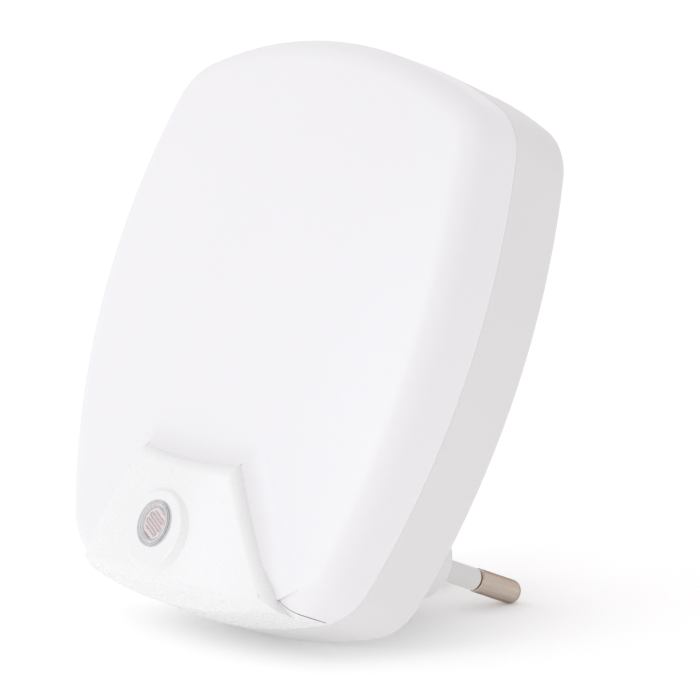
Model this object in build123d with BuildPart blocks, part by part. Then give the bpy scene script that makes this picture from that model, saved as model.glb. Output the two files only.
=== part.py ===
from build123d import *

import os
from math import radians, sqrt, tan

# Plug-in night light with a light sensor, as the separate pieces it comes apart into.
#
# Frame: +Z is up and the lit front faces -Y, as the light sits in a wall socket. The origin is
# the centre of the plug boss's end face, midway between the two pins, which point along +Y.
# Lengths are millimetres.

os.makedirs("parts", exist_ok=True)

# ---- Driving dimensions -------------------------------------------------------------------

# The body's outline: four large arcs that meet in rounded corners.
BODY_TOP = 75.1
BODY_BOTTOM = -18.8
BODY_WIDTH = 82.4
WIDEST_HEIGHT = 33.2
TOP_ARC_RADIUS = 85.0
BOTTOM_ARC_RADIUS = 90.0
SIDE_ARC_RADIUS = 118.0
TOP_CORNER_RADIUS = 10.6
BOTTOM_CORNER_RADIUS = 10.9

# Depths along Y, from the socket forward.
BOSS_HEIGHT = 22.0
CASE_DEPTH = 11.8
BACK_Y = -BOSS_HEIGHT
SEAM_Y = BACK_Y - CASE_DEPTH

# Moulded walls, and the lip and clips that hold the front to the case.
CASE_WALL = 2.0
COVER_WALL = 1.8
CASE_DRAFT = 1.85
COVER_DRAFT = 2.3
BACK_EDGE_RADIUS = 1.4
SEAM_CHAMFER = 0.25
FIT_GAP = 0.1
LIP_THICKNESS = 1.2
LIP_REACH = 3.0
LIP_ROOT = 2.2
CLIP_HEIGHT = 0.7
CLIP_LENGTH = 7.0
CLIP_SET_BACK = 1.2
CLIP_DEPTH = 1.3
CLIP_SLOPE = 20.0
SIDE_CLIP_HEIGHTS = (14.0, 52.0)
TOP_CLIP_X = 15.0

# The diffuser's front: a barrel, rolled over into the side wall.
CROWN_DEPTH = 13.4
CROWN_ACROSS_RADIUS = 204.0
CROWN_DOWN_RADIUS = 294.0
CROWN_HEIGHT = 33.7
ROLL_RADIUS = 4.8

# The sensor panel let into the foot of the diffuser.
PANEL_TOP_HEIGHT = 4.1
PANEL_TOP_RADIUS = 61.0
PANEL_TOP_HALF_WIDTH = 11.6
PANEL_FLARE = 31.5
PANEL_FOOT_HEIGHT = -14.6
PANEL_FOOT_RADIUS = 4.5
PANEL_CROWN_DEPTH = 16.3
PANEL_ACROSS_RADIUS = 48.0
PANEL_DOWN_RADIUS = 150.0
PANEL_CROWN_HEIGHT = -4.4
PANEL_SHOULDER_RADIUS = 2.1
CHIN_DEPTH = 9.9
CHIN_SLOPE = 24.0
PANEL_WALL = 1.6
PANEL_WALL_DEPTH = 5.0
PANEL_FLANGE = 2.0

# The light sensor in the panel's pad.
SENSOR_HEIGHT = -7.1
SENSOR_DEPTH = 17.3
PAD_HEIGHT = -7.9
PAD_DEPTH = 16.8
PAD_RADIUS = 6.1
PAD_SKIRT = 2.0
PAD_SLOPE = 45.0
PAD_EDGE_RADIUS = 0.5
WINDOW_RADIUS = 3.8
WINDOW_WALL = 0.75
WINDOW_FACE = 0.4
WINDOW_EDGE_RADIUS = 0.3
WINDOW_TUBE_DEPTH = 6.5
WINDOW_FLANGE = 0.8
SENSOR_TUBE_RADIUS = 5.8
CELL_RADIUS = 2.55
CELL_FLAT = 2.15
CELL_TURN = -27.0
CELL_THICKNESS = 2.0
CELL_GAP = 0.15
CELL_LEAD_X = 1.3
TRACK_WIDTH = 0.25
TRACK_THICKNESS = 0.08
TRACK_PITCH = 0.58
TRACK_ROWS = 6
SHROUD_RADIUS = 3.0
SHROUD_WALL = 0.4
SHROUD_LENGTH = 7.0

# Two-pin plug for a 2.5 A socket outlet.
PIN_SPACING = 19.0
PIN_LENGTH = 19.0
PIN_RADIUS = 2.0
PIN_TIP_LENGTH = 9.5
PIN_END_RADIUS = 1.3
PIN_SHOULDER_CHAMFER = 0.25
PIN_TAIL_RADIUS = 1.1
PIN_TAIL_LENGTH = 5.0
SOLDER_CUP_RADIUS = 0.5
SOLDER_CUP_DEPTH = 3.0
SLEEVE_RADIUS = 1.85
SLEEVE_BORE = 1.4
SLEEVE_ROOT = 3.0
SLEEVE_GAP = 0.35
SLEEVE_EDGE_CHAMFER = 0.1
BOSS_WIDTH = 27.4
BOSS_THICKNESS = 11.5
BOSS_DRAFT = 1.5
BOSS_WALL = 2.0
BOSS_END_WALL = 6.0
BOSS_RIM_RADIUS = 0.5
BOSS_ROOT_RADIUS = 1.0

# The circuit board, its two screws and the posts that carry it.
BOARD_BACK_Y = SEAM_Y - 0.8
BOARD_THICKNESS = 1.6
BOARD_FRONT_Y = BOARD_BACK_Y - BOARD_THICKNESS
BOARD_INSET = 6.0
BOARD_TOP = 60.0
BOARD_CORNER_RADIUS = 1.5
POST_RADIUS = 3.2
POST_X = 22.0
SCREW_POST_HEIGHT = 52.0
REST_POST_HEIGHT = 8.0
SCREW_RADIUS = 1.3
SCREW_GRIP = 5.0
SCREW_HEAD_RADIUS = 2.6
SCREW_HEAD_HEIGHT = 1.7
SCREW_SLOT_WIDTH = 0.6
SCREW_SLOT_DEPTH = 0.9

# Leads are square in section. Those of parts behind the board stick out in front of it.
LEAD_WIDTH = 0.5
LEAD_HOLE_WIDTH = 0.7
LEAD_STUB = 1.2
LEAD_BEND = 0.9

# The light-emitting diodes, straw-hat pattern, on the board's front.
LED_X = 13.0
LED_HEIGHTS = (26.0, 50.0)
LED_STAND = 1.0
LED_PITCH = 2.54
LED_RADIUS = 2.35
LED_HEIGHT = 4.6
LED_SHOULDER = 1.4
LED_FLANGE_RADIUS = 2.8
LED_FLANGE_THICKNESS = 0.9

# Parts behind the board: each one's place is its centre's x and height.
PART_STAND = 0.4
FILM_PLACE = (-13.0, 36.0)
FILM_SIZE = (18.0, 6.0, 9.2)
FILM_PITCH = 15.0
FILM_EDGE_RADIUS = 0.8
BRIDGE_PLACE = (5.0, 36.0)
BRIDGE_SIZE = (8.5, 6.5, 3.3)
BRIDGE_PITCH = 5.08
BRIDGE_ROWS = 7.62
BRIDGE_NOTCH_RADIUS = 0.8
SMOOTHING_PLACE = (18.0, 36.0)
SMOOTHING_RADIUS = 3.15
SMOOTHING_HEIGHT = 9.0
SMOOTHING_PITCH = 2.5
SMOOTHING_GROOVE = 0.3
SURGE_PLACE = (3.0, 20.0)
BLEED_PLACE = (-13.0, 43.5)
BIAS_PLACE = (0.0, 8.0)
RESISTOR_LENGTH = 6.5
RESISTOR_RADIUS = 1.2
RESISTOR_WAIST = 1.0
RESISTOR_CAP = 1.4
RESISTOR_PITCH = 10.0
ZENER_PLACE = (-12.0, 19.0)
ZENER_LENGTH = 3.8
ZENER_RADIUS = 0.95
ZENER_PITCH = 7.5
TRANSISTOR_PLACE = (-4.5, 14.0)
TRANSISTOR_RADIUS = 2.4
TRANSISTOR_FLAT = 1.3
TRANSISTOR_HEIGHT = 4.8
TRANSISTOR_STAND = 2.0
TRANSISTOR_PITCH = 1.9

# The two wires from the pins to the board.
WIRE_RADIUS = 0.8
WIRE_CORE_RADIUS = 0.4
WIRE_HOLE_RADIUS = 0.5
WIRE_STRIPPED = 1.2
WIRE_BEND = 3.0
WIRE_BOARD_X = 12.5
WIRE_BOARD_HEIGHT = 12.0
WIRE_CROSSING_Y = -28.5


# ---- Planes and shared forms --------------------------------------------------------------

def front_plane(y):
    """A sketch plane at depth y facing the room: its X is the body's X and its Y the height."""
    return Plane((0, y, 0), x_dir=(1, 0, 0), z_dir=(0, -1, 0))


def back_plane(y):
    """A sketch plane at depth y facing the wall, for symmetrical sketches that grow backwards."""
    return Plane((0, y, 0), x_dir=(-1, 0, 0), z_dir=(0, 1, 0))


def turning_plane(x, height):
    """The plane to draw half a turned part's profile in: its X is the radius, its Y is +Y."""
    return Plane((x, 0, height), x_dir=(1, 0, 0), z_dir=(0, 0, 1))


def turning_axis(x, height):
    """The axis along Y that a turned part at x and height is revolved about."""
    return Axis((x, 0, height), (0, 1, 0))


def body_outline(plane, inset=0.0):
    """The body's outline, drawn in all round by inset: four big discs overlap, corners rounded."""
    with BuildSketch(plane) as outline:
        with Locations((0, BODY_TOP - TOP_ARC_RADIUS)):
            Circle(TOP_ARC_RADIUS - inset)
        with Locations((0, BODY_BOTTOM + BOTTOM_ARC_RADIUS)):
            Circle(BOTTOM_ARC_RADIUS - inset, mode=Mode.INTERSECT)
        for side in (-1, 1):
            with Locations((side * (BODY_WIDTH / 2 - SIDE_ARC_RADIUS), WIDEST_HEIGHT)):
                Circle(SIDE_ARC_RADIUS - inset, mode=Mode.INTERSECT)
        fillet(outline.vertices().sort_by(Axis.Y)[-2:], radius=TOP_CORNER_RADIUS - inset)
        fillet(outline.vertices().sort_by(Axis.Y)[:2], radius=BOTTOM_CORNER_RADIUS - inset)
    return outline.sketch


def outline_ring(start_y, depth, outer_inset, inner_inset):
    """A band that follows the outline, from start_y back towards the wall by depth."""
    with BuildPart() as ring:
        extrude(body_outline(back_plane(start_y), outer_inset), amount=depth)
        extrude(body_outline(back_plane(start_y), inner_inset), amount=depth, mode=Mode.SUBTRACT)
    return ring.part


def barrel(front_y, across_radius, down_radius, middle_height):
    """A barrel standing on end, whose belly touches front_y at middle_height."""
    half_height = BODY_TOP - BODY_BOTTOM
    axis_y = front_y + across_radius
    end_y = front_y + down_radius - sqrt(down_radius**2 - half_height**2)
    top = middle_height + half_height
    bottom = middle_height - half_height
    with BuildPart() as solid:
        with BuildSketch(Plane.YZ):
            with BuildLine():
                ThreePointArc((end_y, bottom), (front_y, middle_height), (end_y, top))
                Polyline((end_y, top), (axis_y, top), (axis_y, bottom), (end_y, bottom))
            make_face()
        revolve(axis=Axis((0, axis_y, 0), (0, 0, 1)))
    return solid.part


def crowned_block(inset):
    """The diffuser as a filled form, drawn in all round by inset."""
    with BuildPart() as block:
        extrude(body_outline(front_plane(SEAM_Y), inset), amount=CROWN_DEPTH + 1, taper=COVER_DRAFT)
        crown = barrel(
            SEAM_Y - CROWN_DEPTH + inset,
            CROWN_ACROSS_RADIUS - inset,
            CROWN_DOWN_RADIUS - inset,
            CROWN_HEIGHT,
        )
        add(crown, mode=Mode.INTERSECT)
        fillet(block.faces().sort_by(Axis.Y)[0].edges(), radius=ROLL_RADIUS - inset)
    return block.part


def panel_sketch(start_y, side_foot_height):
    """The panel square on: arched top and flared sides, which run down to side_foot_height."""
    corner_height = PANEL_TOP_HEIGHT + PANEL_TOP_RADIUS - sqrt(PANEL_TOP_RADIUS**2 - PANEL_TOP_HALF_WIDTH**2)
    foot_x = PANEL_TOP_HALF_WIDTH + (corner_height - side_foot_height) * tan(radians(PANEL_FLARE))
    with BuildSketch(front_plane(start_y)) as outline:
        with BuildLine():
            ThreePointArc(
                (-PANEL_TOP_HALF_WIDTH, corner_height),
                (0, PANEL_TOP_HEIGHT),
                (PANEL_TOP_HALF_WIDTH, corner_height),
            )
            Polyline(
                (PANEL_TOP_HALF_WIDTH, corner_height),
                (foot_x, side_foot_height),
                (-foot_x, side_foot_height),
                (-PANEL_TOP_HALF_WIDTH, corner_height),
            )
        make_face()
    return outline.sketch


def panel_region(start_y, end_y, growth=0.0):
    """What the panel's bulge takes of the front, from the top of its arch to below the foot."""
    with BuildPart() as region:
        outline = panel_sketch(start_y, 2 * BODY_BOTTOM)
        if growth:
            outline = offset(outline, amount=growth, kind=Kind.INTERSECTION, mode=Mode.PRIVATE)
        extrude(outline, amount=start_y - end_y)
    return region.part


def toe_region(start_y, end_y, growth=0.0):
    """What the panel takes with its toes, where its sides curve outwards along the foot."""
    with BuildPart() as region:
        add(panel_region(start_y, end_y))
        with BuildSketch(front_plane(start_y)):
            with Locations((0, PANEL_FOOT_HEIGHT)):
                Rectangle(2 * BODY_WIDTH, -PANEL_FOOT_HEIGHT, align=(Align.CENTER, Align.MAX))
        extrude(amount=start_y - end_y)
        upright_edges = region.edges().filter_by(Axis.Y)
        toe_edges = upright_edges.filter_by_position(Axis.Z, PANEL_FOOT_HEIGHT - 0.1, PANEL_FOOT_HEIGHT + 0.1)
        fillet(toe_edges.sort_by(Axis.X)[1:-1], radius=PANEL_FOOT_RADIUS)
        if growth:
            offset(amount=growth, kind=Kind.INTERSECTION)
    return region.part


def panel_block(inset):
    """The panel as a filled form, drawn in by inset: drafted skirt, sloping chin, bulged face."""
    chin_inset = inset + CHIN_DEPTH * tan(radians(COVER_DRAFT))
    with BuildPart() as block:
        extrude(body_outline(front_plane(SEAM_Y), inset), amount=CHIN_DEPTH, taper=COVER_DRAFT)
        extrude(
            body_outline(front_plane(SEAM_Y - CHIN_DEPTH), chin_inset),
            amount=PANEL_CROWN_DEPTH - CHIN_DEPTH + 1,
            taper=CHIN_SLOPE,
        )
        bulge = barrel(
            SEAM_Y - PANEL_CROWN_DEPTH + inset,
            PANEL_ACROSS_RADIUS - inset,
            PANEL_DOWN_RADIUS - inset,
            PANEL_CROWN_HEIGHT,
        )
        add(bulge, mode=Mode.INTERSECT)
        add(panel_region(SEAM_Y, SEAM_Y - 2 * PANEL_CROWN_DEPTH, -inset), mode=Mode.INTERSECT)
    return block.part


def half_width(height):
    """Half the body's width at a height, from the side arcs."""
    return BODY_WIDTH / 2 - SIDE_ARC_RADIUS + sqrt(SIDE_ARC_RADIUS**2 - (height - WIDEST_HEIGHT) ** 2)


def clip_blocks(length):
    """Blocks over the six places where the diffuser clips into the case: two a side, two on top."""
    top_height = BODY_TOP - TOP_ARC_RADIUS + sqrt(TOP_ARC_RADIUS**2 - TOP_CLIP_X**2)
    with BuildPart() as blocks:
        for side in (-1, 1):
            for height in SIDE_CLIP_HEIGHTS:
                with Locations((side * half_width(height), SEAM_Y, height)):
                    Box(4 * CASE_WALL, 4 * LIP_REACH, length)
            with Locations((side * TOP_CLIP_X, SEAM_Y, top_height)):
                Box(length, 4 * LIP_REACH, 4 * CASE_WALL)
    return blocks.part


def lip_and_root():
    """The lip that enters the case, with the thicker root that joins it to the cover's wall."""
    lip_inset = CASE_WALL + FIT_GAP
    lip = outline_ring(SEAM_Y, LIP_REACH, lip_inset, lip_inset + LIP_THICKNESS)
    root = outline_ring(SEAM_Y - LIP_ROOT, LIP_ROOT, COVER_WALL / 2, lip_inset + LIP_THICKNESS)
    return lip + root


def clip_barbs():
    """Ramped barbs on the lip, which snap into the case's pockets."""
    with BuildPart() as barbs:
        start = back_plane(SEAM_Y + CLIP_SET_BACK)
        extrude(body_outline(start, CASE_WALL + FIT_GAP - CLIP_HEIGHT), amount=CLIP_DEPTH, taper=CLIP_SLOPE)
        extrude(body_outline(start, CASE_WALL + FIT_GAP), amount=CLIP_DEPTH, mode=Mode.SUBTRACT)
        add(clip_blocks(CLIP_LENGTH), mode=Mode.INTERSECT)
    return barbs.part


# ---- Rear case: drafted shell, tall boss for the pins, posts for the board ------------------

with BuildPart() as rear_case:
    extrude(body_outline(back_plane(SEAM_Y)), amount=CASE_DEPTH, taper=CASE_DRAFT)
    fillet(rear_case.faces().sort_by(Axis.Y)[-1].edges(), radius=BACK_EDGE_RADIUS)
    chamfer(rear_case.faces().sort_by(Axis.Y)[0].edges(), length=SEAM_CHAMFER)
    with BuildSketch(front_plane(0)):
        SlotOverall(BOSS_WIDTH, BOSS_THICKNESS)
    extrude(amount=BOSS_HEIGHT + CASE_WALL, taper=-BOSS_DRAFT)
    fillet(rear_case.faces().sort_by(Axis.Y)[-1].edges(), radius=BOSS_RIM_RADIUS)
    back_face = rear_case.faces().filter_by(Axis.Y).filter_by_position(Axis.Y, BACK_Y - 0.1, BACK_Y + 0.1)[0]
    fillet(back_face.inner_wires()[0].edges(), radius=BOSS_ROOT_RADIUS)
    # Hollowed from the front, into the boss as well.
    extrude(
        body_outline(back_plane(SEAM_Y), CASE_WALL),
        amount=CASE_DEPTH - CASE_WALL,
        taper=CASE_DRAFT,
        mode=Mode.SUBTRACT,
    )
    with BuildSketch(front_plane(-BOSS_END_WALL)):
        SlotOverall(BOSS_WIDTH - 2 * BOSS_WALL, BOSS_THICKNESS - 2 * BOSS_WALL)
    extrude(amount=BOSS_HEIGHT, mode=Mode.SUBTRACT)
    # Each pin's body is pressed into the wide part of its bore, and its sleeve fills the rest.
    with BuildSketch(front_plane(0)):
        with GridLocations(PIN_SPACING, 1, 2, 1):
            Circle(SLEEVE_RADIUS)
    extrude(amount=BOSS_END_WALL, mode=Mode.SUBTRACT)
    with BuildSketch(front_plane(-SLEEVE_ROOT)):
        with GridLocations(PIN_SPACING, 1, 2, 1):
            Circle(PIN_RADIUS)
    extrude(amount=BOSS_END_WALL, mode=Mode.SUBTRACT)
    # Posts: the upper pair takes the board screws, the lower pair only carries the board.
    with BuildSketch(front_plane(BACK_Y - CASE_WALL)):
        with Locations((0, (SCREW_POST_HEIGHT + REST_POST_HEIGHT) / 2)):
            with GridLocations(2 * POST_X, SCREW_POST_HEIGHT - REST_POST_HEIGHT, 2, 2):
                Circle(POST_RADIUS)
    extrude(amount=BACK_Y - CASE_WALL - BOARD_BACK_Y)
    with BuildSketch(back_plane(BOARD_BACK_Y)):
        with Locations((-POST_X, SCREW_POST_HEIGHT), (POST_X, SCREW_POST_HEIGHT)):
            Circle(SCREW_RADIUS)
    extrude(amount=SCREW_GRIP + 1, mode=Mode.SUBTRACT)
    pockets = outline_ring(
        SEAM_Y + CLIP_SET_BACK - FIT_GAP,
        CLIP_DEPTH + 2 * FIT_GAP,
        CASE_WALL - CLIP_HEIGHT - FIT_GAP,
        CASE_WALL + 1,
    )
    add(pockets & clip_blocks(CLIP_LENGTH + 1), mode=Mode.SUBTRACT)
rear_case.part.label = "rear_case"
export_step(rear_case.part, "parts/rear_case.step")


# ---- Diffuser: crowned front cover, notched at its foot, with a lip and barbs at the seam ----

with BuildPart() as diffuser:
    add(crowned_block(0.0))
    chamfer(diffuser.faces().sort_by(Axis.Y)[-1].edges(), length=SEAM_CHAMFER)
    add(crowned_block(COVER_WALL), mode=Mode.SUBTRACT)
    add(lip_and_root())
    add(clip_barbs())
    notch = toe_region(SEAM_Y + 2 * LIP_REACH, SEAM_Y - 2 * PANEL_CROWN_DEPTH, FIT_GAP)
    add(notch, mode=Mode.SUBTRACT)
diffuser.part.label = "diffuser"
export_step(diffuser.part, "parts/diffuser.step")


# ---- Sensor panel: bulged, flanged to lap behind the diffuser, with a pad and a sensor tube --

window_y = SEAM_Y - SENSOR_DEPTH
pad_y = SEAM_Y - PAD_DEPTH
tube_end_y = BOARD_FRONT_Y - LEAD_STUB - 1
lap_outer = COVER_WALL + FIT_GAP
lap_band = crowned_block(lap_outer) - crowned_block(lap_outer + LIP_THICKNESS)
flange_region = panel_region(SEAM_Y - PANEL_WALL_DEPTH, SEAM_Y - 2 * PANEL_CROWN_DEPTH, PANEL_FLANGE)
lip_region = panel_region(SEAM_Y + 2 * LIP_REACH, SEAM_Y - LIP_REACH, -FIT_GAP)

with BuildPart() as sensor_panel:
    add(panel_block(0.0))
    fillet(sensor_panel.faces().sort_by(Axis.Y)[0].edges(), radius=PANEL_SHOULDER_RADIUS)
    # Either side of the bulge a toe carries the diffuser's rolled edge on along the foot.
    add(crowned_block(0.0) & toe_region(SEAM_Y, SEAM_Y - 2 * PANEL_CROWN_DEPTH))
    with BuildSketch(front_plane(pad_y + PAD_SKIRT)):
        with Locations((0, PAD_HEIGHT)):
            Circle(PAD_RADIUS + PAD_SKIRT * tan(radians(PAD_SLOPE)))
    extrude(amount=PAD_SKIRT, taper=PAD_SLOPE)
    fillet(sensor_panel.faces().sort_by(Axis.Y)[0].edges(), radius=PAD_EDGE_RADIUS)
    add(panel_block(PANEL_WALL), mode=Mode.SUBTRACT)
    # Behind the face the side and top walls stop short of the board, and only the skirt runs on.
    extrude(
        body_outline(front_plane(SEAM_Y), PANEL_WALL),
        amount=SEAM_Y - tube_end_y,
        mode=Mode.SUBTRACT,
    )
    add(lap_band & flange_region)
    add(lip_and_root() & lip_region)
    # The sensor tube, bored through for the clear cap and wider behind for the cap's flange.
    with BuildSketch(back_plane(pad_y + WINDOW_FACE)):
        with Locations((0, SENSOR_HEIGHT)):
            Circle(SENSOR_TUBE_RADIUS)
    extrude(amount=tube_end_y - pad_y - WINDOW_FACE)
    with BuildSketch(back_plane(pad_y)):
        with Locations((0, SENSOR_HEIGHT)):
            Circle(WINDOW_RADIUS)
    extrude(amount=PAD_DEPTH, mode=Mode.SUBTRACT)
    with BuildSketch(back_plane(window_y + WINDOW_TUBE_DEPTH)):
        with Locations((0, SENSOR_HEIGHT)):
            Circle(WINDOW_RADIUS + WINDOW_FLANGE)
    extrude(amount=PAD_DEPTH, mode=Mode.SUBTRACT)
sensor_panel.part.label = "sensor_panel"
export_step(sensor_panel.part, "parts/sensor_panel.step")


# ---- Sensor window: a clear cap, pushed in from behind until its flange seats ----------------

with BuildPart() as sensor_window:
    with BuildSketch(turning_plane(0, SENSOR_HEIGHT)) as half_cap:
        with BuildLine():
            Polyline(
                (0, window_y),
                (WINDOW_RADIUS, window_y),
                (WINDOW_RADIUS, window_y + WINDOW_TUBE_DEPTH),
                (WINDOW_RADIUS + WINDOW_FLANGE, window_y + WINDOW_TUBE_DEPTH),
                (WINDOW_RADIUS + WINDOW_FLANGE, window_y + WINDOW_TUBE_DEPTH + WINDOW_FLANGE),
                (WINDOW_RADIUS - WINDOW_WALL, window_y + WINDOW_TUBE_DEPTH + WINDOW_FLANGE),
                (WINDOW_RADIUS - WINDOW_WALL, window_y + WINDOW_FACE),
                (0, window_y + WINDOW_FACE),
                close=True,
            )
        make_face()
        rim_corner = half_cap.vertices().sort_by(Axis.Y)[:2].sort_by(Axis.X)[-1]
        fillet(rim_corner, radius=WINDOW_EDGE_RADIUS)
    revolve(axis=turning_axis(0, SENSOR_HEIGHT))
sensor_window.part.label = "sensor_window"
export_step(sensor_window.part, "parts/sensor_window.step")


# ---- Light cell: a ceramic disc with two flats and a wavy track, in a dark tube ----------------

cell_y = window_y + WINDOW_FACE + CELL_GAP

with BuildPart() as ldr_cell:
    with BuildSketch(front_plane(cell_y + CELL_THICKNESS)):
        Circle(CELL_RADIUS)
        Rectangle(2 * CELL_RADIUS, 2 * CELL_FLAT, rotation=CELL_TURN, mode=Mode.INTERSECT)
    extrude(amount=CELL_THICKNESS)
ldr_cell.part.position = (0, 0, SENSOR_HEIGHT)
ldr_cell.part.label = "ldr_cell"
export_step(ldr_cell.part, "parts/ldr_cell.step")

with BuildPart() as ldr_track:
    row_heights = [(row - (TRACK_ROWS - 1) / 2) * TRACK_PITCH for row in range(TRACK_ROWS)]
    bends = []
    for row, height in enumerate(row_heights):
        reach = sqrt((CELL_RADIUS - 2 * TRACK_WIDTH) ** 2 - height**2)
        side = 1 if row % 2 else -1
        bends += [(side * reach, height), (-side * reach, height)]
    with BuildSketch(front_plane(cell_y)):
        with BuildLine(mode=Mode.PRIVATE) as route:
            FilletPolyline(*bends, radius=TRACK_WIDTH * 0.8)
        trace(route.line.rotate(Axis.Z, CELL_TURN), line_width=TRACK_WIDTH)
    extrude(amount=TRACK_THICKNESS)
ldr_track.part.position = (0, 0, SENSOR_HEIGHT)
ldr_track.part.label = "ldr_track"
export_step(ldr_track.part, "parts/ldr_track.step")

with BuildPart() as ldr_shroud:
    with BuildSketch(back_plane(cell_y + CELL_THICKNESS / 2)):
        with Locations((0, SENSOR_HEIGHT)):
            Circle(SHROUD_RADIUS)
            Circle(SHROUD_RADIUS - SHROUD_WALL, mode=Mode.SUBTRACT)
    extrude(amount=SHROUD_LENGTH)
ldr_shroud.part.label = "ldr_shroud"
export_step(ldr_shroud.part, "parts/ldr_shroud.step")

ldr_lead_places = [(-CELL_LEAD_X, SENSOR_HEIGHT), (CELL_LEAD_X, SENSOR_HEIGHT)]

with BuildPart() as ldr_leads:
    with BuildSketch(back_plane(cell_y + CELL_THICKNESS)):
        with Locations(*ldr_lead_places):
            Rectangle(LEAD_WIDTH, LEAD_WIDTH)
    extrude(amount=BOARD_BACK_Y + LEAD_STUB - cell_y - CELL_THICKNESS)
ldr_leads.part.label = "ldr_leads"
export_step(ldr_leads.part, "parts/ldr_leads.step")


# ---- Plug pins, turned from brass, and their insulating sleeves -------------------------------

tip_start = PIN_LENGTH - PIN_TIP_LENGTH
tail_end = -BOSS_END_WALL - PIN_TAIL_LENGTH

for side, name in ((-1, "left"), (1, "right")):
    pin_x = side * PIN_SPACING / 2
    with BuildPart() as pin:
        with BuildSketch(turning_plane(pin_x, 0)):
            with BuildLine():
                Polyline(
                    (0, PIN_LENGTH),
                    (0, tail_end + SOLDER_CUP_DEPTH),
                    (SOLDER_CUP_RADIUS, tail_end + SOLDER_CUP_DEPTH),
                    (SOLDER_CUP_RADIUS, tail_end),
                    (PIN_TAIL_RADIUS, tail_end),
                    (PIN_TAIL_RADIUS, -BOSS_END_WALL),
                    (PIN_RADIUS, -BOSS_END_WALL),
                    (PIN_RADIUS, -SLEEVE_ROOT),
                    (SLEEVE_BORE, -SLEEVE_ROOT),
                    (SLEEVE_BORE, tip_start),
                    (PIN_RADIUS - PIN_SHOULDER_CHAMFER, tip_start),
                    (PIN_RADIUS, tip_start + PIN_SHOULDER_CHAMFER),
                    (PIN_RADIUS, PIN_LENGTH - PIN_END_RADIUS),
                )
                RadiusArc(
                    (PIN_RADIUS, PIN_LENGTH - PIN_END_RADIUS),
                    (PIN_RADIUS - PIN_END_RADIUS, PIN_LENGTH),
                    -PIN_END_RADIUS,
                )
                Line((PIN_RADIUS - PIN_END_RADIUS, PIN_LENGTH), (0, PIN_LENGTH))
            make_face()
        revolve(axis=turning_axis(pin_x, 0))
    pin.part.label = f"pin_{name}"
    export_step(pin.part, f"parts/pin_{name}.step")

    with BuildPart() as sleeve:
        with BuildSketch(back_plane(-SLEEVE_ROOT)):
            with Locations((-pin_x, 0)):
                Circle(SLEEVE_RADIUS)
                Circle(SLEEVE_BORE, mode=Mode.SUBTRACT)
        extrude(amount=SLEEVE_ROOT + tip_start - SLEEVE_GAP)
        outer_rim = sleeve.faces().sort_by(Axis.Y)[-1].outer_wire().edges()
        chamfer(outer_rim, length=SLEEVE_EDGE_CHAMFER)
    sleeve.part.label = f"sleeve_{name}"
    export_step(sleeve.part, f"parts/sleeve_{name}.step")


# ---- Where each part's leads pass through the board -------------------------------------------

def lead_pair(place, pitch):
    """Two lead places either side of a part's place."""
    return [(place[0] - pitch / 2, place[1]), (place[0] + pitch / 2, place[1])]


led_places = [(side * LED_X, height) for height in LED_HEIGHTS for side in (-1, 1)]
led_lead_places = [hole for place in led_places for hole in lead_pair(place, LED_PITCH)]
bridge_lead_places = [
    (BRIDGE_PLACE[0] + side * BRIDGE_PITCH / 2, BRIDGE_PLACE[1] + row * BRIDGE_ROWS / 2)
    for side in (-1, 1)
    for row in (-1, 1)
]
resistor_places = {
    "surge_resistor": SURGE_PLACE,
    "bleed_resistor": BLEED_PLACE,
    "bias_resistor": BIAS_PLACE,
}
axial_places = [(place, RESISTOR_LENGTH, RESISTOR_PITCH) for place in resistor_places.values()]
axial_places.append((ZENER_PLACE, ZENER_LENGTH, ZENER_PITCH))
axial_lead_places = [hole for place, _, pitch in axial_places for hole in lead_pair(place, pitch)]
transistor_lead_places = lead_pair(TRANSISTOR_PLACE, 2 * TRANSISTOR_PITCH) + [TRANSISTOR_PLACE]
upright_lead_places = (
    lead_pair(FILM_PLACE, FILM_PITCH)
    + lead_pair(SMOOTHING_PLACE, SMOOTHING_PITCH)
)
wire_places = lead_pair((0, WIRE_BOARD_HEIGHT), 2 * WIRE_BOARD_X)
screw_places = [(-POST_X, SCREW_POST_HEIGHT), (POST_X, SCREW_POST_HEIGHT)]


# ---- Circuit board and its screws -------------------------------------------------------------

with BuildPart() as circuit_board:
    extrude(body_outline(front_plane(BOARD_BACK_Y), BOARD_INSET), amount=BOARD_THICKNESS)
    split(bisect_by=Plane.XY.offset(BOARD_TOP), keep=Keep.BOTTOM)
    fillet(circuit_board.edges().filter_by(Axis.Y).group_by(Axis.Z)[-1], radius=BOARD_CORNER_RADIUS)
    with BuildSketch(front_plane(BOARD_BACK_Y)):
        with Locations(*screw_places):
            Circle(SCREW_RADIUS + FIT_GAP)
        with Locations(*wire_places):
            Circle(WIRE_HOLE_RADIUS)
        with Locations(*led_lead_places, *ldr_lead_places, *axial_lead_places):
            Rectangle(LEAD_HOLE_WIDTH, LEAD_HOLE_WIDTH)
        with Locations(*upright_lead_places, *bridge_lead_places, *transistor_lead_places):
            Rectangle(LEAD_HOLE_WIDTH, LEAD_HOLE_WIDTH)
    extrude(amount=BOARD_THICKNESS, mode=Mode.SUBTRACT)
circuit_board.part.label = "circuit_board"
export_step(circuit_board.part, "parts/circuit_board.step")

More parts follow.
